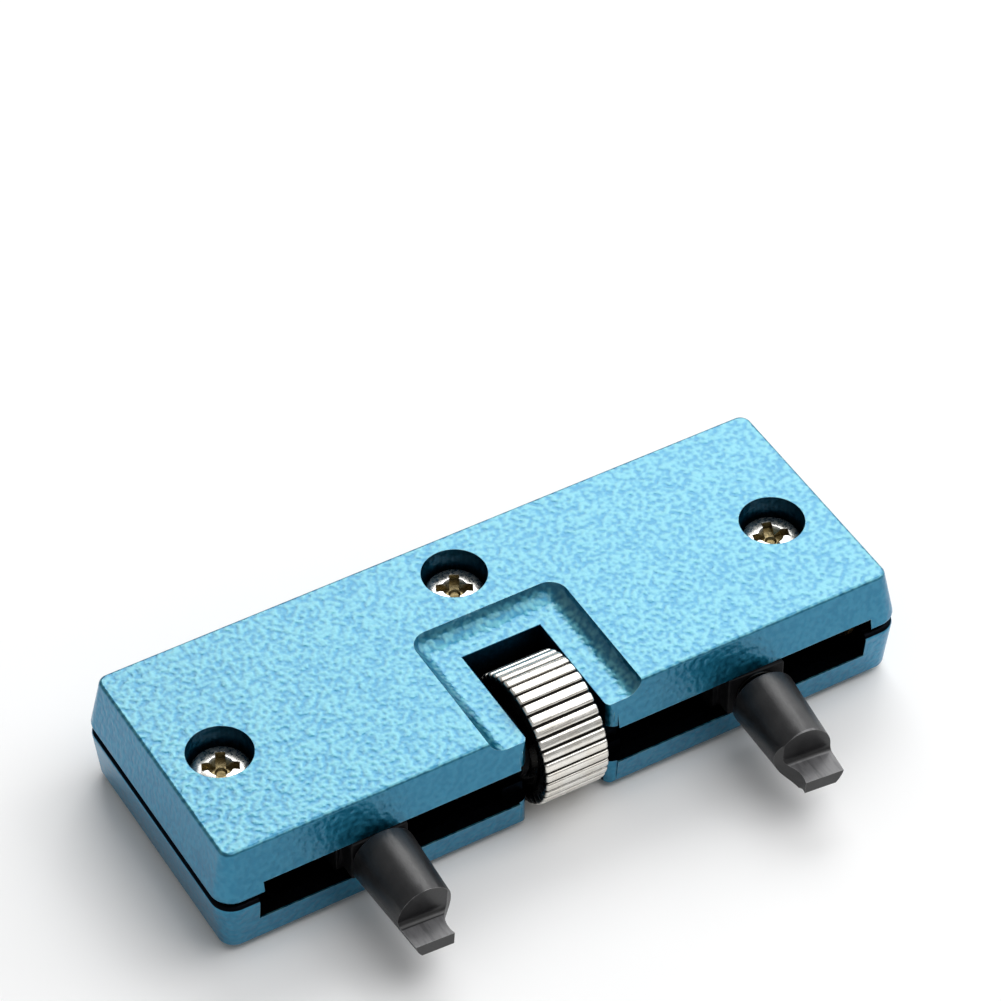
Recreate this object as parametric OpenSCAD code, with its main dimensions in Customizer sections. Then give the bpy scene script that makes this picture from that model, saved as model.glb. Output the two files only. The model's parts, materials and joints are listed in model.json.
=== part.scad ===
// Two-bit case back opener: a flat two-shell case with a thumb wheel at the
// middle of its front edge. The wheel turns a lead screw with a left-hand and
// a right-hand thread, which moves two carriages apart or together along a
// slot, and each carriage carries a hardened flat-blade bit.
// Axes: X along the case, Y from the bits to the rear edge, Z up.
// Modules are written about the screw's height at the middle of the case.

/* [Case] */
// Length of the flat top face
case_l = 60; // [56:0.5:66]
// Width of the flat top face
case_w = 21.6; // [21:0.1:24]
// Thickness over both shells
case_t = 10.1; // [9.9:0.1:10.6]
// How far each side of the upper shell leans out down to the parting line
wall_draft = 0.92; // [0.6:0.02:1.1]
// How far each side of the lower shell leans in from there to the underside
lower_draft = 0.5; // [0.4:0.02:0.92]
// Plan radius of the corners at the flat faces
corner_r = 0.9; // [0.7:0.1:1.5]
// Gap left between the rims of the shells
shadow_gap = 0.3; // [0.1:0.05:0.4]

/* [Slot and channel] */
// Half length of the slot in the front edge
slot_half_l = 27.6; // [27:0.1:27.8]
// Height of the slot above the parting line
slot_up = 1.46; // [1.3:0.02:1.6]
// Depth of the slot below the parting line
slot_down = 2.54; // [2.4:0.02:2.7]
// How far the slot's upper half sits to the right of its lower half
slot_shift = 0.45; // [0:0.05:0.5]
// Half height of the channel that the carriages run in
channel_half_h = 3.3; // [3.1:0.05:3.3]

/* [Wheel] */
// Radius over the ridges of the thumb wheel
wheel_r = 5.6; // [5.4:0.05:5.8]
// Width of the thumb wheel
wheel_w = 5.7; // [5:0.1:5.8]
// Number of grooves across the wheel's rim
wheel_grooves = 34; // [24:1:40]
// Half width of the notch that the wheel stands in
notch_half_w = 3.57; // [3.5:0.01:3.8]
// Half width of the scooped relief around the notch
relief_half_w = 6.9; // [6.4:0.1:7.4]
// Depth of that relief
relief_d = 1.1; // [0.8:0.05:1.2]

/* [Screws] */
// Radius of the thread on the lead screw (M3)
lead_r = 1.5; // [1.4:0.05:1.6]
// Distance of each end case screw from the middle
screw_x = 25.2; // [25:0.1:25.4]
// Radius of the case screws' heads
head_r = 2.45; // [2.3:0.05:2.5]

/* [Bits] */
// Distance of the left bit from the middle, at rest
left_bit_x = 17.15; // [9:0.05:23.5]
// Distance of the right bit from the middle, at rest
right_bit_x = 17.1; // [9:0.05:23.5]
// Turn of the left bit's tip towards the left, in plan
left_lean = 0; // [0:0.5:6]
// Turn of the right bit's tip towards the left, in plan
right_lean = 4; // [0:0.5:6]
// How far the right bit stands off its shim
right_stand = 0.75; // [0:0.25:1]
// Bit radius beside the case
bit_rear_r = 2.75; // [2.5:0.05:2.9]
// Bit radius at the tip
bit_tip_r = 2.3; // [2.2:0.05:2.5]
// Length of a bit outside the case
bit_l = 9.4; // [7:0.1:12]

/* [Hidden] */

$fn = 64;
eps = 0.01;
far = 40;

paint = "deepskyblue";
zinc = "gainsboro";
nickel = "silver";
brass = "goldenrod";
black_oxide = [0.16, 0.16, 0.17];

half_t = case_t / 2;
half_l = case_l / 2;
half_w = case_w / 2;
flat_edge_r = 0.3;
rim_edge_r = 0.5;
rim_r = corner_r + wall_draft;
front_y = -half_w - wall_draft;
land_inset = 0.62;
land_h = 1.6;

// Lead screw line, and the bits' line in the middle of the slot
screw_y = -7.2;
bit_z = (slot_up - slot_down) / 2;

// Channel behind the slot: two bays with a web on each side of the wheel
channel_front_y = -10.2;
channel_back_y = -4.3;
web_outer_x = 5.4;
web_front_y = -9.6;
lip_r = 0.9;
notch_back_y = -0.77;
relief_back_y = 2.25;
cove_r = 1.7;
cove_w = sqrt(pow(cove_r, 2) - pow(cove_r - relief_d, 2));

// Running and sliding clearances
run_gap = 0.06;
slide_gap = 0.1;

// Case screws: M2.5 pan heads low in their counterbores
case_thread_r = 1.25;
case_hole_r = 1.4;
counterbore_r = 2.7;
counterbore_d = 3.1;
head_h = 1.5;
recess_l = 3;
recess_w = 0.8;
recess_d = 0.75;
recess_root_r = 0.35;
recess_mouth_r = 1.05;
recess_root_d = 0.2;
tapped_depth = 3.4;
rear_screw_y = 6.7;
end_screw_y = -1;

// Lead screw: its shoulders and the journals in the end bushes
lead_shoulder_x = 26.9;
journal_r = 1.2;
journal_end_x = 29.2;
bush_r = 2.3;
bush_l = 2;
bush_flange_r = 2.9;
bush_flange_t = 0.55;

// Wheel rim grooves, its side dish and its set screw (M1.6)
groove_w = 0.3;
groove_d = 0.28;
wheel_chamfer = 0.25;
dish_inner_r = 3.3;
dish_outer_r = 4.5;
dish_d = 0.4;
set_r = 0.8;
set_l = 3;
set_angle = -40;
washer_r = 2.9;
washer_t = 0.6;

// Carriage block and the nose that fills the slot's height
carriage_half_l = 3;
nose_half_w = 2.5;
nose_y = -11.75;
nose_spare = 0.4;
shank_r = 1.25;
shank_l = 2.9;
shim_t = 0.2;
shim_r = 1.85;

// Blade at the end of a bit
shoulder_l = 6.85;
blade_top = -0.45;
blade_bottom = -1.6;
blade_root_r = 0.5;
under_scoop_r = 1.9;
blade_side_x = 1.03;
side_scoop_r = 2.4;
side_scoop_y = -8.65;
// Turn of each bit about its own axis, as its thread happens to tighten
left_roll = 4;
right_roll = 2;
rear_chamfer = 0.25;

// The part stands on its lowest points with its footprint about the origin. The outer
// corner of the right blade reaches furthest to the front.
blade_corner_x = bit_tip_r * cos(asin(-blade_top / bit_tip_r) + right_roll);
right_reach = shim_t + right_stand + bit_l;
bit_tip_y = nose_y - right_reach * cos(right_lean) - blade_corner_x * sin(right_lean);
footprint_y = (bit_tip_y - front_y) / 2;
module placed() { translate([0, -footprint_y, wheel_r]) children(); }

// ---- Shared shapes ----

// Quarter arc in an outline, from angle a0 to a1 about (cx, cy)
function arc(cx, cy, r, a0, a1, n = 6) =
    [for (i = [0 : n]) [cx + r * cos(a0 + (a1 - a0) * i / n),
                        cy + r * sin(a0 + (a1 - a0) * i / n)]];

// Half section of a shell at a corner: distance out against height, from the
// rim beside the parting line up to the flat face that is draft further in
function shell_edge(draft) = concat(
    [[0, shadow_gap / 2]],
    arc(rim_r - rim_edge_r, shadow_gap / 2 + rim_edge_r, rim_edge_r, -90, 0),
    arc(rim_r - draft - flat_edge_r + 0.05, half_t - flat_edge_r, flat_edge_r, 10, 90),
    [[0, half_t]]);

// Half section of the relief: flat floor and a concave cove up to the face
function relief_edge() = concat(
    [[0, half_t - relief_d]],
    arc(0, half_t - relief_d + cove_r, cove_r, -90, -90 + acos(1 - relief_d / cove_r), 8),
    [[cove_w + 1, half_t + 1], [0, half_t + 1]]);

// Outline swept round a rectangle whose corner centres are at +-x, y0 and y1
module swept(outline, x, y0, y1) {
    mid = (y0 + y1) / 2;
    mirrored = [for (i = [len(outline) - 1 : -1 : 0]) [-outline[i][0], outline[i][1]]];
    function spread(w) = concat(
        [for (p = outline) [p[0] + w, p[1]]],
        [for (p = mirrored) [p[0] - w, p[1]]]);
    translate([-x, mid, 0]) rotate([90, 0, 90]) linear_extrude(2 * x)
        polygon(spread((y1 - y0) / 2));
    translate([0, y1, 0]) rotate([90, 0, 0]) linear_extrude(y1 - y0)
        polygon(spread(x));
    for (sx = [-x, x], y = [y0, y1]) translate([sx, y, 0]) rotate_extrude() polygon(outline);
}

module box(x0, x1, y0, y1, z0, z1) {
    translate([x0, y0, z0]) cube([x1 - x0, y1 - y0, z1 - z0]);
}

module along_x(r, x0, x1) {
    translate([x0, 0, 0]) rotate([0, 90, 0]) cylinder(r = r, h = x1 - x0);
}

// The same two shapes between x0 and x1 from the middle, on the left (s = -1) or right (s = 1)
module side_box(s, x0, x1, y0, y1, z0, z1) {
    box(s < 0 ? -x1 : x0, s < 0 ? -x0 : x1, y0, y1, z0, z1);
}

module side_rod(s, r, x0, x1) {
    along_x(r, s < 0 ? -x1 : x0, s < 0 ? -x0 : x1);
}

module at_case_screws() {
    for (x = [-screw_x, screw_x]) translate([x, end_screw_y, 0]) children();
    translate([0, rear_screw_y, 0]) children();
}

// ---- Case ----

// A shell without its holes, its rim down; the lower shell is turned over from this
module half_shell(draft) {
    difference() {
        union() {
            swept(shell_edge(draft), half_l - corner_r, -half_w + corner_r, half_w - corner_r);
            // Lands inside the rim, where the shells meet
            intersection() {
                land_plan(rim_r - land_inset);
                union() {
                    box(-far, far, channel_back_y, far, 0, land_h);
                    for (s = [-1, 1]) side_box(s, slot_half_l, far, -far, 0, 0, land_h);
                }
            }
            for (s = [-1, 1]) side_box(s, notch_half_w, web_outer_x, web_front_y, 0, 0, land_h);
        }
        notch();
        // Carriage channel
        for (s = [-1, 1])
            side_box(s, web_outer_x, slot_half_l, channel_front_y, channel_back_y, -eps, channel_half_h);
        // Space in front of the webs
        box(-web_outer_x - eps, web_outer_x + eps, channel_front_y, web_front_y, -eps, slot_up);
        // Lead screw and end bushes
        translate([0, screw_y, 0]) {
            along_x(lead_r + run_gap, -web_outer_x - eps, web_outer_x + eps);
            for (s = [-1, 1]) side_rod(s, bush_r, slot_half_l - eps, journal_end_x + 0.4);
        }
    }
}

// Rectangle about the same corner centres as the shell, with corners of radius r
module land_plan(r) {
    x = half_l - corner_r;
    y = half_w - corner_r;
    box(-x, x, -y - r, y + r, 0, land_h);
    box(-x - r, x + r, -y, y, 0, land_h);
    for (sx = [-x, x], sy = [-y, y]) translate([sx, sy, 0]) cylinder(r = r, h = land_h);
}

// Opening for the wheel, with its front edges rounded in plan
module notch() {
    lip_y = -half_w - wall_draft / 2 + lip_r;
    box(-notch_half_w, notch_half_w, -far, notch_back_y, -far, far);
    for (s = [-1, 1]) difference() {
        side_box(s, notch_half_w - eps, notch_half_w + lip_r, -far, lip_y, -far, far);
        translate([s * (notch_half_w + lip_r), lip_y, -far]) cylinder(r = lip_r, h = 2 * far);
    }
}

module slot(h) {
    box(-slot_half_l, slot_half_l, -far, channel_front_y + eps, -eps, h);
}

module top_shell() color(paint) placed() difference() {
    half_shell(wall_draft);
    // Relief around the wheel notch
    swept(relief_edge(), relief_half_w - cove_w, -far, relief_back_y - cove_w);
    translate([slot_shift, 0, 0]) slot(slot_up);
    at_case_screws() {
        translate([0, 0, half_t - counterbore_d]) cylinder(r = counterbore_r, h = far);
        translate([0, 0, -eps]) cylinder(r = case_hole_r, h = far);
    }
}

module bottom_shell() color(paint) placed() mirror([0, 0, 1]) difference() {
    half_shell(lower_draft);
    slot(slot_down);
    at_case_screws() translate([0, 0, -eps]) cylinder(r = case_thread_r, h = tapped_depth + eps);
}

module case_screw(x, y, turn) color(zinc) placed() translate([x, y, 0]) difference() {
    seat = half_t - counterbore_d;
    union() {
        translate([0, 0, -tapped_depth + 0.4]) cylinder(r = case_thread_r, h = seat + tapped_depth);
        rotate_extrude() polygon(concat(
            [[0, seat], [head_r - 0.1, seat]],
            arc(head_r - 0.55, seat + head_h - 0.55 - 0.12, 0.55, 0, 62),
            [[1.2, seat + head_h], [0, seat + head_h]]));
    }
    // Cross recess
    for (a = [0, 90]) rotate([0, 0, a + turn]) translate([0, 0, seat + head_h - recess_d])
        box(-recess_l / 2, recess_l / 2, -recess_w / 2, recess_w / 2, 0, head_h);
    translate([0, 0, seat + head_h - recess_d - recess_root_d])
        cylinder(r1 = recess_root_r, r2 = recess_mouth_r, h = recess_d + recess_root_d + eps);
}

module case_screw_left() case_screw(-screw_x, end_screw_y, 64);
module case_screw_right() case_screw(screw_x, end_screw_y, 75);
module case_screw_rear() case_screw(0, rear_screw_y, 62);

// ---- Drive ----

module bush(side) color(brass) placed() translate([0, screw_y, 0])
    mirror([side < 0 ? 1 : 0, 0, 0]) difference() {
        union() {
            along_x(bush_r, slot_half_l, slot_half_l + bush_l);
            along_x(bush_flange_r, slot_half_l - bush_flange_t, slot_half_l);
        }
        along_x(journal_r + run_gap, slot_half_l - 1, slot_half_l + bush_l + 1);
    }

module bush_left() bush(-1);
module bush_right() bush(1);

module lead_screw() color(zinc) placed() translate([0, screw_y, 0]) {
    along_x(lead_r, -lead_shoulder_x, lead_shoulder_x);
    for (s = [-1, 1]) side_rod(s, journal_r, lead_shoulder_x, journal_end_x);
}

// Rim outline: flat-topped ridges between narrow grooves
function rim_points() = [
    for (i = [0 : wheel_grooves - 1], p = [[-1, 0, -1], [-0.6, 1, 0], [0.6, 1, 0], [1, 0, 1]])
        let (a = 360 * i / wheel_grooves + asin(groove_w / 2 / wheel_r) * p[0],
             r = wheel_r - groove_d * p[1])
        [r * cos(a), r * sin(a)]];

module thumb_wheel() color(nickel) placed() translate([0, screw_y, 0]) difference() {
    intersection() {
        translate([-wheel_w / 2, 0, 0]) rotate([90, 0, 90]) linear_extrude(wheel_w) polygon(rim_points());
        rotate([0, 90, 0]) rotate_extrude() polygon([
            [0, -wheel_w / 2], [wheel_r - wheel_chamfer, -wheel_w / 2],
            [wheel_r + eps, -wheel_w / 2 + wheel_chamfer + eps],
            [wheel_r + eps, wheel_w / 2 - wheel_chamfer - eps],
            [wheel_r - wheel_chamfer, wheel_w / 2], [0, wheel_w / 2]]);
    }
    along_x(lead_r, -wheel_w, wheel_w);
    for (s = [-1, 1]) difference() {
        along_x(dish_outer_r, s * wheel_w / 2 - dish_d, s * wheel_w / 2 + dish_d);
        along_x(dish_inner_r, -wheel_w, wheel_w);
    }
    rotate([set_angle, 0, 0]) rotate([-90, 0, 0]) cylinder(r = set_r, h = far);
}

module wheel_set_screw() color(black_oxide) placed() translate([0, screw_y, 0])
    rotate([set_angle, 0, 0]) rotate([-90, 0, 0]) difference() {
        translate([0, 0, lead_r + 0.05]) cylinder(r = set_r, h = set_l);
        translate([0, 0, lead_r + set_l - 0.9]) cylinder(r = 0.45, h = 2, $fn = 6);
    }

module thrust_washer(side) color(black_oxide) placed() translate([0, screw_y, 0]) difference() {
    x = side * (wheel_w / 2 + washer_t / 2);
    along_x(washer_r, x - washer_t / 2, x + washer_t / 2);
    along_x(lead_r, -wheel_w, wheel_w);
}

module thrust_washer_left() thrust_washer(-1);
module thrust_washer_right() thrust_washer(1);

// ---- Carriages and bits ----

// Frame at the middle of a carriage's nose, with the bit's axis along -Y
module at_nose(x, lean) translate([x, nose_y, bit_z]) rotate([0, 0, -lean]) children();

module carriage(x, lean) color(black_oxide) placed() difference() {
    union() {
        box(x - carriage_half_l, x + carriage_half_l, channel_front_y + slide_gap,
            channel_back_y - slide_gap, -channel_half_h + slide_gap, channel_half_h - slide_gap);
        box(x - nose_half_w, x + nose_half_w, nose_y - nose_spare, channel_front_y + 1,
            -slot_down + slide_gap, slot_up - slide_gap);
    }
    translate([0, screw_y, 0]) along_x(lead_r + run_gap, -far, far);
    // End of the nose and tapped hole, square to the bit
    at_nose(x, lean) {
        box(-far, far, -far, 0, -far, far);
        rotate([-90, 0, 0]) translate([0, 0, -eps]) cylinder(r = shank_r, h = shank_l + eps);
    }
}

module carriage_left() carriage(-left_bit_x, left_lean);
module carriage_right() carriage(right_bit_x, right_lean);

module bit_shim(x, lean) color(nickel) placed() at_nose(x, lean) rotate([90, 0, 0]) difference() {
    cylinder(r = shim_r, h = shim_t);
    translate([0, 0, -1]) cylinder(r = shank_r, h = 3);
}

module bit_shim_left() bit_shim(-left_bit_x, left_lean);
module bit_shim_right() bit_shim(right_bit_x, right_lean);

// Right-hand bit along -Y from its shoulder; the left-hand bit's shape is its mirror image
module bit_shape() difference() {
    rotate([90, 0, 0]) {
        cylinder(r1 = bit_rear_r - rear_chamfer, r2 = bit_rear_r, h = rear_chamfer);
        translate([0, 0, rear_chamfer])
            cylinder(r1 = bit_rear_r, r2 = bit_tip_r, h = bit_l - rear_chamfer);
        translate([0, 0, -shim_t - shank_l + 0.2]) cylinder(r = shank_r, h = shank_l + shim_t);
    }
    // Upper half milled away down to the blade, with a rounded root
    box(-far, far, -far, -shoulder_l - blade_root_r, blade_top, far);
    box(-far, far, -far, -shoulder_l, blade_top + blade_root_r, far);
    translate([0, -shoulder_l - blade_root_r, blade_top + blade_root_r]) along_x(blade_root_r, -far, far);
    // Scoops under the blade and on its inner side
    translate([0, -bit_l - 0.2, blade_bottom - under_scoop_r]) along_x(under_scoop_r, -far, far);
    translate([-blade_side_x - side_scoop_r, side_scoop_y, -far]) cylinder(r = side_scoop_r, h = 2 * far);
}

module bit_left() color(black_oxide) placed() at_nose(-left_bit_x, left_lean)
    translate([0, -shim_t, 0]) rotate([0, left_roll, 0]) mirror([1, 0, 0]) bit_shape();
module bit_right() color(black_oxide) placed() at_nose(right_bit_x, right_lean)
    translate([0, -shim_t - right_stand, 0]) rotate([0, right_roll, 0]) bit_shape();

top_shell();
bottom_shell();
case_screw_left();
case_screw_right();
case_screw_rear();
bush_left();
bush_right();
lead_screw();
thumb_wheel();
wheel_set_screw();
thrust_washer_left();
thrust_washer_right();
carriage_left();
carriage_right();
bit_left();
bit_right();
bit_shim_left();
bit_shim_right();
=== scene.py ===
"""Looks of the two-bit case back opener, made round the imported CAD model.

Everything is in metres in the CAD's frame: X along the case, Y from the bits to
the rear edge, Z up. Places come from the boxes of the CAD nodes.
"""
import json
import math

import bmesh
import bpy
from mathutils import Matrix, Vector


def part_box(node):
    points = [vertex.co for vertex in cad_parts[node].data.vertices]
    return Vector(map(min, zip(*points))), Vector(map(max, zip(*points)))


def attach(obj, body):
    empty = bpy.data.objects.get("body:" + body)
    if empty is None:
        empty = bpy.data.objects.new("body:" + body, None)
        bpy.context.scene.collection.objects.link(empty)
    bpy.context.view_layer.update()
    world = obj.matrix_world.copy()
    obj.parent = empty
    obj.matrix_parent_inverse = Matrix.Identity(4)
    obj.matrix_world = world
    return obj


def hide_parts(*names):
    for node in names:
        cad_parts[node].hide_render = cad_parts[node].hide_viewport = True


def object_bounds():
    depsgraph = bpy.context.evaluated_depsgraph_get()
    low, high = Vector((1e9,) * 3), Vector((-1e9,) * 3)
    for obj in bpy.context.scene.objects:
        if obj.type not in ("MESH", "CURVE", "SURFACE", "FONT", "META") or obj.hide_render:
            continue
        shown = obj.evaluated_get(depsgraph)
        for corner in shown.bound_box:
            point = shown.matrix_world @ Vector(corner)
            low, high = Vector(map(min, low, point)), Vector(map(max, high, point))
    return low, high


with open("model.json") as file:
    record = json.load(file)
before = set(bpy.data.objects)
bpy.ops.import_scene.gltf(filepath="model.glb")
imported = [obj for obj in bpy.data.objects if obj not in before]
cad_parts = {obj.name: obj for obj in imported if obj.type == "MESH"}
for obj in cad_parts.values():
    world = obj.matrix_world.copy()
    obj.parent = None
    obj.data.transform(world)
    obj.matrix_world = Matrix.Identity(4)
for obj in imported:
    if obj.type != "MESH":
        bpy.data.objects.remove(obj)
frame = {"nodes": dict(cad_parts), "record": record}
cad_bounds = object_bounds()

MM = 0.001
NODES = frame["nodes"]
RECORD = frame["record"]
BODY_OF = {node: body for body, nodes in RECORD["behaviour"]["bodies"].items() for node in nodes}
SLOT_OF = {part["node"]: part["material_slot"] for part in RECORD["subparts"]}


# ---- Measures taken from the frame ----

def centre(node):
    low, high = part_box(node)
    return (low + high) / 2


def half_size(node):
    low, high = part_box(node)
    return (high - low) / 2


top_low, top_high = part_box("top_shell")
bottom_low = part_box("bottom_shell")[0]
CASE = Vector((0, (top_low.y + top_high.y) / 2, (top_high.z + bottom_low.z) / 2))
WHEEL = Vector((0, centre("thumb_wheel").y, centre("thumb_wheel").z))
WHEEL_R = half_size("thumb_wheel").z
CASE_SCREWS = ["case_screw_left", "case_screw_right", "case_screw_rear"]
HEAD_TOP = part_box("case_screw_left")[1].z

# ---- Sizes that a box doesn't give; edges of the slot and the gap are heights from CASE.z ----

# Straight rim of each shell, and how far its walls lean in beyond it for each unit of height
RIM_H = 0.65 * MM
UPPER_DRAFT = 0.207
LOWER_DRAFT = 0.112
# Notch for the wheel, and the end of the rounded lips beside it
NOTCH_HALF_W = 3.62 * MM
NOTCH_BACK_Y = CASE.y - 0.7 * MM
LIP_END_X = 4.57 * MM
LIP_DEPTH = 0.85 * MM
# Channel behind the slot, and the slot's edges
CHANNEL_BACK_Y = CASE.y - 3.9 * MM
CHANNEL_HALF_H = 3.4 * MM
CHANNEL_END_X = 28.9 * MM
SLOT_TOP = 1.46 * MM
SLOT_BOTTOM = -2.54 * MM
# How far the blue paint reaches in round the slot's edges before the painted shade starts
SHADE_DEPTH = 0.13 * MM
# Gap between the shells, filled with painted shade
GAP_TOP = 0.22 * MM
GAP_BOTTOM = -0.46 * MM
# Counterbores: radius, and the seat of the screw heads
COUNTERBORE_R = 2.72 * MM
SEAT_Z = CASE.z + 1.9 * MM
# Length of the ground blades at the ends of the bits
BLADE_L = 2.0 * MM


# ---- Camera, light and floor ----

def make_camera():
    """The camera is in front, to the left and above, raised so that the case comes low in the view."""
    azimuth, elevation = math.radians(-30.18), math.radians(44.37)
    to_right, to_top, away = 0.325 * MM, 9.867 * MM, 360.85 * MM
    back = Vector((math.sin(azimuth) * math.cos(elevation),
                   -math.cos(azimuth) * math.cos(elevation),
                   math.sin(elevation)))
    right = Vector((math.cos(azimuth), math.sin(azimuth), 0))
    up = back.cross(right)
    top_middle = Vector((CASE.x, CASE.y, top_high.z))
    camera = bpy.data.objects.new("camera", bpy.data.cameras.new("camera"))
    bpy.context.scene.collection.objects.link(camera)
    camera.location = top_middle + right * to_right + up * to_top + back * away
    camera.rotation_mode = "QUATERNION"
    camera.rotation_quaternion = (-back).to_track_quat("-Z", "Y")
    camera.data.sensor_width = 36
    camera.data.lens = 164.15
    camera.data.clip_start = 0.01
    camera.data.clip_end = 10
    bpy.context.scene.camera = camera


def area_light(name, from_case, size, power):
    """A rectangular light that looks at the case."""
    light = bpy.data.lights.new(name, "AREA")
    light.shape = "RECTANGLE"
    light.size, light.size_y = size
    light.energy = power
    lamp = bpy.data.objects.new(name, light)
    bpy.context.scene.collection.objects.link(lamp)
    lamp.location = CASE + Vector(from_case)
    lamp.rotation_mode = "QUATERNION"
    lamp.rotation_quaternion = (-Vector(from_case)).to_track_quat("-Z", "Y")


def make_lights():
    """A bright softbox behind the case, seen in its top face, and dimmer panels above and to the right."""
    area_light("softbox", (0.42, 0.70, 0.77), (0.62, 0.55), 4.9)
    area_light("overhead", (0.38, -0.18, 0.95), (0.9, 0.9), 5.0)
    area_light("side_panel", (1.00, 0.15, 0.62), (1.3, 1.1), 7.0)
    world = bpy.data.worlds.new("studio")
    world.use_nodes = True
    world.node_tree.nodes["Background"].inputs["Color"].default_value = (1, 1, 1, 1)
    world.node_tree.nodes["Background"].inputs["Strength"].default_value = 0.36
    bpy.context.scene.world = world
    bpy.context.scene.view_settings.view_transform = "Standard"


def make_floor():
    """Matt white paper just below the lowest point."""
    mesh = bpy.data.meshes.new("floor")
    size = 3
    corners = [(-size, -size, 0), (size, -size, 0), (size, size, 0), (-size, size, 0)]
    mesh.from_pydata(corners, [], [(0, 1, 2, 3)])
    floor = bpy.data.objects.new("floor", mesh)
    bpy.context.scene.collection.objects.link(floor)
    floor.location.z = cad_bounds[0].z - 0.02 * MM
    look = Look("floor_paper", roughness=0.9)
    look.set("Base Color", (0.9, 0.9, 0.9, 1))
    look.set("Specular IOR Level", 0.0)
    mesh.materials.append(look.material)


# ---- Materials ----

class Look:
    """A material's node tree, with short calls for the nodes that the looks below use."""

    def __init__(self, name, metallic=0.0, roughness=0.5):
        self.material = bpy.data.materials.new(name)
        self.material.use_nodes = True
        self.tree = self.material.node_tree
        self.bsdf = self.tree.nodes["Principled BSDF"]
        self.set("Metallic", metallic)
        self.set("Roughness", roughness)

    def put(self, socket, value):
        """A number or colour goes on the socket itself, and a node's output is linked to it."""
        if isinstance(value, bpy.types.NodeSocket):
            self.tree.links.new(value, socket)
        else:
            socket.default_value = value

    def set(self, name, value):
        """Sets one of the shader's own sockets."""
        self.put(self.bsdf.inputs[name], value)

    def add(self, kind, inputs=(), **options):
        node = self.tree.nodes.new(kind)
        for name, value in options.items():
            setattr(node, name, value)
        for key, value in dict(inputs).items():
            self.put(node.inputs[key], value)
        return node

    def place(self):
        """Position in the part's own frame, in metres; it moves with the piece."""
        return self.add("ShaderNodeTexCoord").outputs["Object"]

    def axes(self):
        """The position's X, Y and Z."""
        return self.add("ShaderNodeSeparateXYZ", {"Vector": self.place()}).outputs

    def stretch(self, scale):
        """Position with each axis scaled: a smaller factor draws noise out along that axis."""
        inputs = {"Vector": self.place(), "Scale": scale}
        return self.add("ShaderNodeMapping", inputs).outputs["Vector"]

    def noise(self, size_mm, vector=None, detail=3.0, roughness=0.55):
        """Noise whose blobs are about size_mm across, from 0 to 1."""
        inputs = {"Vector": vector or self.place(), "Scale": 1 / (size_mm * MM),
                  "Detail": detail, "Roughness": roughness}
        return self.add("ShaderNodeTexNoise", inputs).outputs["Fac"]

    def math(self, operation, *values):
        return self.add("ShaderNodeMath", dict(enumerate(values)), operation=operation).outputs[0]

    def chain(self, operation, values):
        """One two-input operation over any number of values."""
        result = values[0]
        for value in values[1:]:
            result = self.math(operation, result, value)
        return result

    def product(self, *values):
        return self.chain("MULTIPLY", values)

    def highest(self, *values):
        return self.chain("MAXIMUM", values)

    def fade(self, value, low, high, out_low=0.0, out_high=1.0):
        """Smooth step from out_low to out_high, while value goes from low to high."""
        inputs = {"Value": value, "From Min": low, "From Max": high,
                  "To Min": out_low, "To Max": out_high}
        return self.add("ShaderNodeMapRange", inputs, interpolation_type="SMOOTHSTEP").outputs["Result"]

    def under(self, value, limit, soft=0.03 * MM):
        """1 where value is below limit, and 0 above it."""
        return self.fade(value, limit - soft, limit + soft, 1, 0)

    def over(self, value, limit, soft=0.03 * MM):
        """1 where value is above limit, and 0 below it."""
        return self.fade(value, limit - soft, limit + soft)

    def mix(self, share, a, b):
        """Colour a where share is 0, and colour b where it is 1."""
        node = self.add("ShaderNodeMix", {0: share}, data_type="RGBA")
        colours = [socket for socket in node.inputs if socket.type == "RGBA"]
        self.put(colours[0], a)
        self.put(colours[1], b)
        return next(socket for socket in node.outputs if socket.type == "RGBA")

    def bump(self, height, depth_mm, strength=1.0):
        inputs = {"Height": height, "Distance": depth_mm * MM, "Strength": strength}
        return self.add("ShaderNodeBump", inputs).outputs["Normal"]

    def edges(self, radius_mm):
        """1 on sharp edges, from how far a rounded normal leans from the real one."""
        rounded = self.add("ShaderNodeBevel", {"Radius": radius_mm * MM}, samples=6).outputs["Normal"]
        real = self.add("ShaderNodeNewGeometry").outputs["Normal"]
        both = self.add("ShaderNodeVectorMath", {0: rounded, 1: real}, operation="DOT_PRODUCT")
        return self.fade(self.math("SUBTRACT", 1.0, both.outputs["Value"]), 0.02, 0.25)

    def facing_up(self):
        """1 on level faces, and 0 on walls, in the part's own frame."""
        normal = self.add("ShaderNodeTexCoord").outputs["Normal"]
        upward = self.add("ShaderNodeSeparateXYZ", {"Vector": normal}).outputs[2]
        return self.math("ABSOLUTE", upward)

    def distance(self, u, v, u0, v0):
        """Distance of a point (u, v) from the axis at (u0, v0)."""
        du = self.math("SUBTRACT", u, u0)
        dv = self.math("SUBTRACT", v, v0)
        return self.math("SQRT", self.math("ADD", self.product(du, du), self.product(dv, dv)))

    def from_case_screws(self, x, y):
        """Distance from the axis of the nearest case screw."""
        away = [self.distance(x, y, centre(node).x, centre(node).y) for node in CASE_SCREWS]
        return self.chain("MINIMUM", away)


# Colours of the painted shade inside the case and in the counterbores
SHADE_BLACK = (0.0035, 0.004, 0.006, 1)
SHADE_NAVY = (0.004, 0.030, 0.062, 1)


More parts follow.
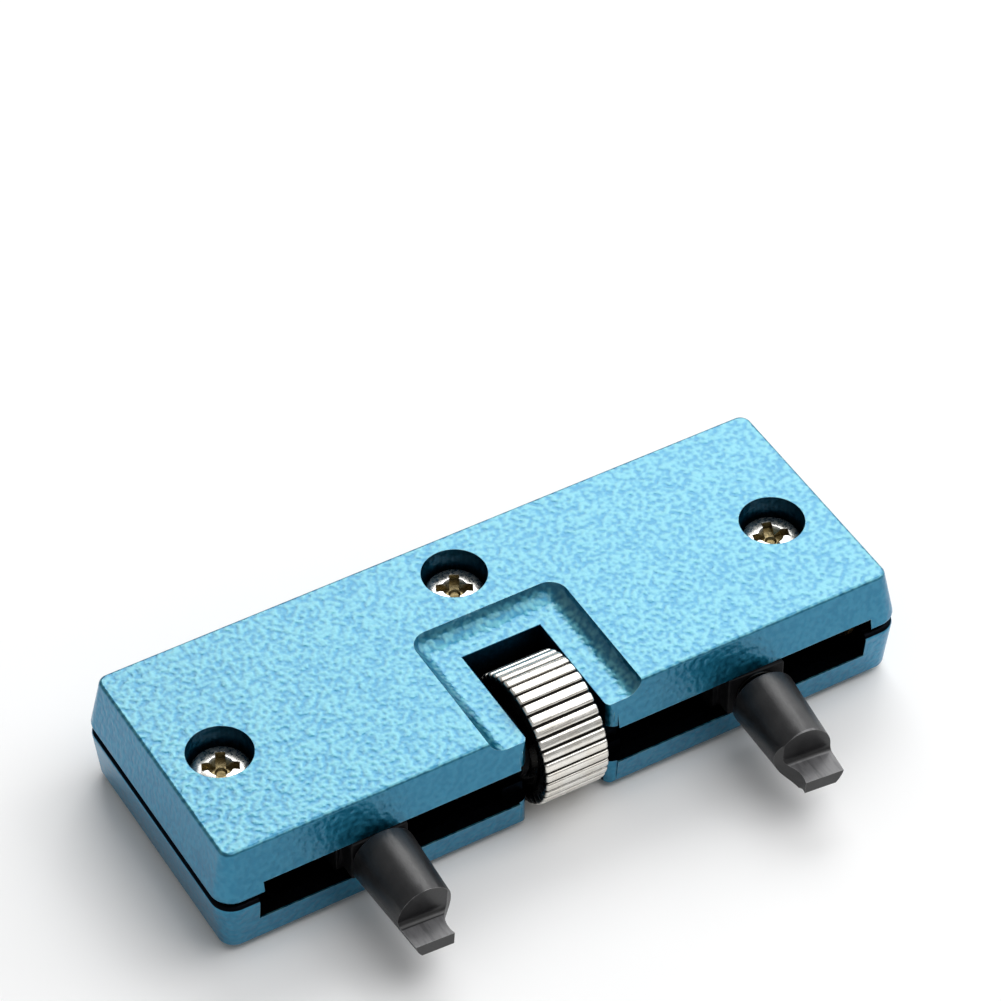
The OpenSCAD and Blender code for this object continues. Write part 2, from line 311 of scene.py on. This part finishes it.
def case_paint():
    """Sky-blue hammer-tone metallic paint under lacquer, with painted light: brighter speckles on level
    faces, paler edges, and painted shade that keeps the inside of the case black.
    """
    look = Look("case_paint", metallic=1.0, roughness=0.45)
    look.set("Specular Tint", (0.25, 0.55, 0.7, 1))
    look.set("Coat Roughness", 0.2)
    grain = look.noise(0.46, detail=0.6, roughness=0.5)
    hammer = look.noise(1.7, detail=2)
    mottle = look.math("ADD", look.math("MULTIPLY", grain, 0.75), look.math("MULTIPLY", hammer, 0.25))
    speckle = look.fade(mottle, 0.35, 0.66)
    # Painted light: level faces get wider speckles with brighter highlights than the walls, which are
    # bluer; the speckle pattern itself is the hammer-tone
    wall_tone = look.mix(speckle, (0.004, 0.170, 0.300, 1), (0.020, 0.230, 0.375, 1))
    lit_face_tone = look.mix(speckle, (0.000, 0.130, 0.230, 1), (0.080, 0.295, 0.360, 1))
    blue = look.mix(look.fade(look.facing_up(), 0.3, 0.9), wall_tone, lit_face_tone)
    # Paler sharp edges: partly worn paint, partly a painted highlight along them
    pale_edges = look.product(look.edges(0.1), look.fade(look.noise(1.1), 0.35, 0.6, 0.15, 0.75))
    blue = look.mix(pale_edges, blue, (0.30, 0.50, 0.55, 1))
    x, y, z = look.axes()
    # Painted shade on the counterbores' walls, navy at the top and black at the seat
    bore, bore_shade_tone = counterbore_shade(look, x, y, z)
    blue = look.mix(bore, blue, bore_shade_tone)
    # Painted shade: black in the channel, the notch and the gap between the shells, where only shade falls
    black, shade_tone = inside_shade(look, x, y, z)
    look.set("Base Color", look.mix(black, blue, shade_tone))
    look.set("Roughness", look.fade(mottle, 0.3, 0.7, 0.40, 0.50))
    # Less lacquer under the painted shade, so that it stays dark
    shade_share = look.math("MULTIPLY", look.highest(black, bore), 0.88)
    look.set("Coat Weight", look.math("SUBTRACT", 0.9, shade_share))
    relief = look.bump(mottle, 0.085)
    look.set("Normal", relief)
    look.set("Coat Normal", relief)
    return look.material


def counterbore_shade(look, x, y, z):
    """Share and colour of the painted shade on the counterbores' walls: navy at the top, and black at the
    seat.
    """
    wall = look.product(look.under(look.from_case_screws(x, y), COUNTERBORE_R),
                        look.fade(z, SEAT_Z, SEAT_Z + 0.05 * MM))
    tone = look.mix(look.fade(z, SEAT_Z, top_high.z), SHADE_BLACK, SHADE_NAVY)
    return look.math("MULTIPLY", wall, 0.9), tone


def inside_shade(look, x, y, z):
    """Share and colour of the painted shade in the channel, on the slot's edges, in the notch and in the
    gap between the shells.
    """
    height = look.math("SUBTRACT", z, CASE.z)
    level = look.math("ABSOLUTE", height)
    aside = look.math("ABSOLUTE", x)
    slope = look.fade(height, -0.01 * MM, 0.01 * MM, LOWER_DRAFT, UPPER_DRAFT)
    lean = look.product(look.math("SUBTRACT", level, RIM_H), slope)
    behind_front = look.math("SUBTRACT", look.math("SUBTRACT", y, top_low.y), lean)

    on_edges = []
    for edge in (SLOT_TOP, SLOT_BOTTOM):
        away = look.math("ABSOLUTE", look.math("SUBTRACT", height, edge))
        on_edges.append(look.under(away, 0.03 * MM))
    off_slot_wall = look.math("SUBTRACT", 1.0, look.highest(*on_edges))
    lip_share = look.under(aside, LIP_END_X, 0.05 * MM)
    lip = look.product(look.math("MULTIPLY", lip_share, LIP_DEPTH), off_slot_wall)
    channel = look.product(look.over(look.math("SUBTRACT", behind_front, lip), SHADE_DEPTH),
                           look.under(level, CHANNEL_HALF_H),
                           look.under(y, CHANNEL_BACK_Y),
                           look.under(aside, CHANNEL_END_X))
    notch = look.product(look.under(aside, NOTCH_HALF_W, 0.01 * MM), look.under(y, NOTCH_BACK_Y))
    gap = look.product(look.under(height, GAP_TOP), look.over(height, GAP_BOTTOM))
    # The painted shade in the notch lightens to navy towards its top
    tone = look.mix(look.product(notch, look.fade(height, 1.2 * MM, 3.9 * MM)), SHADE_BLACK, SHADE_NAVY)
    return look.highest(channel, notch, gap), tone


def plated(name, colour, dark, roughness, streak_axis=(1, 1, 1)):
    """Plated or turned metal: faint streaks along one axis, and duller patches."""
    look = Look(name, metallic=1.0, roughness=roughness)
    streaks = look.noise(0.12, look.stretch(streak_axis), detail=4)
    patches = look.fade(look.noise(1.3, detail=2), 0.3, 0.7, 0.0, 0.4)
    look.set("Base Color", look.mix(patches, colour, dark))
    look.set("Roughness", look.fade(streaks, 0.3, 0.7, roughness * 0.75, roughness * 1.35))
    look.set("Normal", look.bump(streaks, 0.004, 0.5))
    return look.material


def screw_zinc():
    """Bright zinc; the cross recess and the shoulder of the head are brown, darker towards the bottom."""
    look = Look("screw_zinc", metallic=1.0, roughness=0.3)
    x, y, z = look.axes()
    fine = look.noise(0.25, detail=4)
    patches = look.fade(look.noise(0.8), 0.35, 0.65)
    zinc = look.mix(patches, (0.80, 0.79, 0.75, 1), (0.62, 0.61, 0.57, 1))
    recess_r = 1.58 * MM
    recess = look.product(look.under(z, HEAD_TOP - 0.12 * MM, 0.1 * MM),
                          look.under(look.from_case_screws(x, y), recess_r, 0.02 * MM))
    # Brown in the recess, darker towards the bottom of it
    recess_tone = look.mix(look.fade(z, HEAD_TOP - 0.9 * MM, HEAD_TOP - 0.2 * MM),
                     (0.16, 0.125, 0.06, 1), (0.46, 0.40, 0.25, 1))
    look.set("Base Color", look.mix(recess, zinc, recess_tone))
    look.set("Roughness", look.fade(fine, 0.3, 0.7, 0.22, 0.42))
    look.set("Normal", look.bump(fine, 0.01, 0.5))
    return look.material


def black_oxide(name, roughness, specular):
    """Hardened steel with a satin black oxide skin, grey on worn edges and on the ground blades."""
    look = Look(name, roughness=roughness)
    look.set("Specular IOR Level", specular)
    fine = look.noise(0.10, detail=3)
    pale_edges = look.product(look.edges(0.10), look.fade(look.noise(0.7), 0.3, 0.65, 0.1, 0.8))
    blade_back_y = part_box("bit_left")[0].y + BLADE_L
    scratches = look.noise(0.3, look.stretch((1, 0.15, 1)))
    ground = look.product(look.under(look.axes()["Y"], blade_back_y),
                          look.fade(look.facing_up(), 0.85, 0.95),
                          look.fade(scratches, 0.3, 0.6, 0.55, 1.0))
    patches = look.fade(look.noise(1.6), 0.35, 0.7)
    tone = look.mix(patches, (0.005, 0.005, 0.006, 1), (0.012, 0.012, 0.013, 1))
    tone = look.mix(ground, tone, (0.115, 0.115, 0.12, 1))
    look.set("Base Color", look.mix(pale_edges, tone, (0.28, 0.28, 0.28, 1)))
    look.set("Roughness", look.fade(fine, 0.3, 0.7, roughness - 0.06, roughness + 0.08))
    look.set("Normal", look.bump(fine, 0.006, 0.6))
    return look.material


def wheel_nickel():
    """Bright nickel on the ridges; the grooves and the sides are nearly black: painted shade, with some
    grime in the grooves.
    """
    look = Look("wheel_nickel", metallic=1.0, roughness=0.24)
    axes = look.axes()
    streaks = look.noise(0.10, look.stretch((0.12, 1, 1)), detail=4)
    radius = look.distance(axes["Y"], axes["Z"], WHEEL.y, WHEEL.z)
    # Painted shade below the tops of the ridges, in the grooves and on the sides, with some grime in the
    # grooves
    groove_shade_and_grime = look.under(radius, WHEEL_R - 0.13 * MM, 0.09 * MM)
    patches = look.fade(look.noise(1.6), 0.35, 0.65, 0, 0.5)
    ridge_nickel = look.mix(patches, (0.90, 0.88, 0.83, 1), (0.72, 0.67, 0.58, 1))
    look.set("Base Color", look.mix(groove_shade_and_grime, ridge_nickel, (0.02, 0.019, 0.018, 1)))
    look.set("Roughness", look.fade(streaks, 0.3, 0.7, 0.17, 0.36))
    look.set("Normal", look.bump(streaks, 0.004, 0.5))
    return look.material


# ---- Pieces ----

def add_piece(name, mesh, node, material):
    """Puts a mesh in the place of a CAD node, on the same body and with the same material slot."""
    piece = bpy.data.objects.new(name, mesh)
    bpy.context.scene.collection.objects.link(piece)
    mesh.materials.append(material)
    for polygon in mesh.polygons:
        polygon.use_smooth = True
    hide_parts(node)
    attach(piece, BODY_OF[node])
    return piece


def sharp(edge):
    return len(edge.link_faces) == 2 and edge.calc_face_angle() > math.radians(24)


def refined(node, material, round_mm):
    """The CAD node's shape with its flat faces joined up and its sharp edges rounded."""
    same_point = 0.0005 * MM
    same_plane = math.radians(0.4)
    bm = bmesh.new()
    bm.from_mesh(NODES[node].data)
    bmesh.ops.remove_doubles(bm, verts=bm.verts, dist=same_point)
    bmesh.ops.dissolve_limit(bm, angle_limit=same_plane, verts=bm.verts, edges=bm.edges)
    weight = bm.edges.layers.float.new("bevel_weight_edge")
    for edge in bm.edges:
        edge[weight] = 1.0 if sharp(edge) else 0.0
    mesh = bpy.data.meshes.new(node + "_skin")
    bm.to_mesh(mesh)
    bm.free()
    piece = add_piece(node + "_skin", mesh, node, material)
    bevel = piece.modifiers.new("rounded_edges", "BEVEL")
    bevel.width = round_mm * MM
    bevel.segments = 3
    bevel.limit_method = "WEIGHT"
    bevel.miter_outer = "MITER_ARC"
    smooth = piece.modifiers.new("flat_faces", "WEIGHTED_NORMAL")
    smooth.keep_sharp = True


def around(axis, x, radius, turn):
    """The point at x, at a radius and a turn in radians about a line along X."""
    return (x, axis.y + radius * math.cos(turn), axis.z + radius * math.sin(turn))


def closed_mesh(name, rings, caps=True):
    """A mesh through rings of points, which has a face at each end or closes on itself."""
    bm = bmesh.new()
    loops = [[bm.verts.new(point) for point in ring] for ring in rings]
    pairs = list(zip(loops, loops[1:]))
    if not caps:
        pairs.append((loops[-1], loops[0]))
    for near, far in pairs:
        for j in range(len(near)):
            bm.faces.new((near[j], near[j - 1], far[j - 1], far[j]))
    if caps:
        bm.faces.new(loops[0])
        bm.faces.new(reversed(loops[-1]))
    bmesh.ops.recalc_face_normals(bm, faces=bm.faces)
    mesh = bpy.data.meshes.new(name)
    bm.to_mesh(mesh)
    bm.free()
    return mesh


def without(mesh, cutter):
    """The mesh with another mesh's shape taken out of it."""
    whole = bpy.data.objects.new("whole", mesh)
    tool = bpy.data.objects.new("tool", cutter)
    for helper in (whole, tool):
        bpy.context.scene.collection.objects.link(helper)
    cut = whole.modifiers.new("cut", "BOOLEAN")
    cut.object = tool
    cut.solver = "EXACT"
    evaluated = whole.evaluated_get(bpy.context.evaluated_depsgraph_get())
    result = bpy.data.meshes.new_from_object(evaluated)
    for helper in (whole, tool):
        bpy.data.objects.remove(helper)
    result.name = mesh.name
    return result


def ridged_wheel(node, material):
    """The thumb wheel: crowned ridges across its rim, soft ends, and a shallow dish in each side."""
    grooves = 34
    half_w = half_size(node).x
    bore = half_size("lead_screw").z
    pitch = 2 * math.pi * WHEEL_R / grooves
    # Distance from a groove's middle, and depth below the top of the ridges
    half_ridge = [(0.05, 0.28), (0.09, 0.20), (0.115, 0.12), (0.16, 0.065), (0.23, 0.025), (0.34, 0.004)]
    half_ridge = [(along * MM, depth * MM) for along, depth in half_ridge]
    ridge = half_ridge + [(pitch - along, depth) for along, depth in reversed(half_ridge)]
    outline = [((i * pitch + along) / WHEEL_R, depth) for i in range(grooves) for along, depth in ridge]

    def rim(x, sunk):
        return [around(WHEEL, x, WHEEL_R - sunk - depth, turn) for turn, depth in outline]

    def ring(x, radius):
        return [around(WHEEL, x, radius, turn) for turn, _ in outline]

    soft, dish = 0.25 * MM, 0.4 * MM
    arc = [math.radians(18 * k) for k in range(6)]
    half = [rim(half_w - soft * (1 - math.sin(a)), soft * (1 - math.cos(a))) for a in arc]
    # Radius and depth of each corner of the dish
    corners = [(4.5 * MM, 0), (4.4 * MM, dish), (3.4 * MM, dish), (3.3 * MM, 0), (bore, 0)]
    half += [ring(half_w - depth, radius) for radius, depth in corners]
    other_half = [[(-x, y, z) for x, y, z in points] for points in reversed(half)]
    wheel = closed_mesh(node + "_ridged", other_half + half, caps=False)
    hole = set_screw_hole(bore - 0.3 * MM, WHEEL_R + 1 * MM)
    add_piece(node + "_ridged", without(wheel, hole), node, material)


def set_screw_hole(start, end):
    """A rod along the set screw, between two distances from the wheel's axis."""
    screw = centre("wheel_set_screw")
    aim = (Vector((0, screw.y, screw.z)) - WHEEL).normalized()
    across = Vector((1, 0, 0))
    up = aim.cross(across)
    radius = half_size("wheel_set_screw").x
    turns = [math.radians(15 * k) for k in range(24)]
    spokes = [(across * math.cos(turn) + up * math.sin(turn)) * radius for turn in turns]
    rings = [[WHEEL + aim * reach + spoke for spoke in spokes] for reach in (start, end)]
    return closed_mesh("set_screw_hole", rings)


def threaded_screw(node, material):
    """The lead screw with real threads, left-hand on its right half, and plain journals at its ends."""
    axis = centre(node)
    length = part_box(node)[1].x
    major = half_size(node).z
    minor, journal, pitch = major - 0.28 * MM, major - 0.3 * MM, 0.5 * MM
    plain_x = 3.4 * MM
    shoulder_x = length - 2.3 * MM
    sides, rows_a_turn = 32, 8
    # Above 2, so that the crests come out flat
    flank = 2.6
    # Length of the steps between the thread and the plain stretches
    step = 0.01 * MM

    def radius(x, turn):
        distance = abs(x)
        if distance > shoulder_x:
            return journal
        if distance < plain_x:
            return major
        phase = (distance / pitch + turn) % 1
        return minor + (major - minor) * min(1.0, flank * min(phase, 1 - phase))

    rows = round((shoulder_x - plain_x) / pitch * rows_a_turn)
    thread = [plain_x + (shoulder_x - plain_x) * i / rows for i in range(rows + 1)]
    right_half = [plain_x - step] + thread + [shoulder_x + step, length]
    stations = [-x for x in reversed(right_half)] + right_half
    turns = [j / sides for j in range(sides)]
    rings = [[around(axis, x, radius(x, turn), 2 * math.pi * turn) for turn in turns] for x in stations]
    add_piece(node + "_threads", closed_mesh(node + "_threads", rings), node, material)


MATERIALS = {
    "case_paint": case_paint(),
    "screw_zinc": screw_zinc(),
    "wheel_nickel": wheel_nickel(),
    "spindle_steel": plated("spindle_steel", (0.55, 0.55, 0.56, 1), (0.30, 0.28, 0.26, 1), 0.32,
                            streak_axis=(0.1, 1, 1)),
    "brass": plated("brass", (0.20, 0.13, 0.06, 1), (0.10, 0.065, 0.03, 1), 0.4),
    "carriage_steel": black_oxide("carriage_steel", 0.5, 0.1),
    "bit_oxide": black_oxide("bit_oxide", 0.36, 0.55),
}

# How far the edges of each remaining node are rounded
ROUNDING_MM = {
    "top_shell": 0.12, "bottom_shell": 0.12,
    "case_screw_left": 0.05, "case_screw_right": 0.05, "case_screw_rear": 0.05,
    "bush_left": 0.08, "bush_right": 0.08,
    "carriage_left": 0.15, "carriage_right": 0.15,
    "bit_left": 0.07, "bit_right": 0.07,
    "bit_shim_left": 0.05, "bit_shim_right": 0.05,
    "thrust_washer_left": 0.06, "thrust_washer_right": 0.06,
    "wheel_set_screw": 0.05,
}

threaded_screw("lead_screw", MATERIALS[SLOT_OF["lead_screw"]])
ridged_wheel("thumb_wheel", MATERIALS[SLOT_OF["thumb_wheel"]])
for node, round_mm in ROUNDING_MM.items():
    refined(node, MATERIALS[SLOT_OF[node]], round_mm)

make_camera()
make_lights()
make_floor()
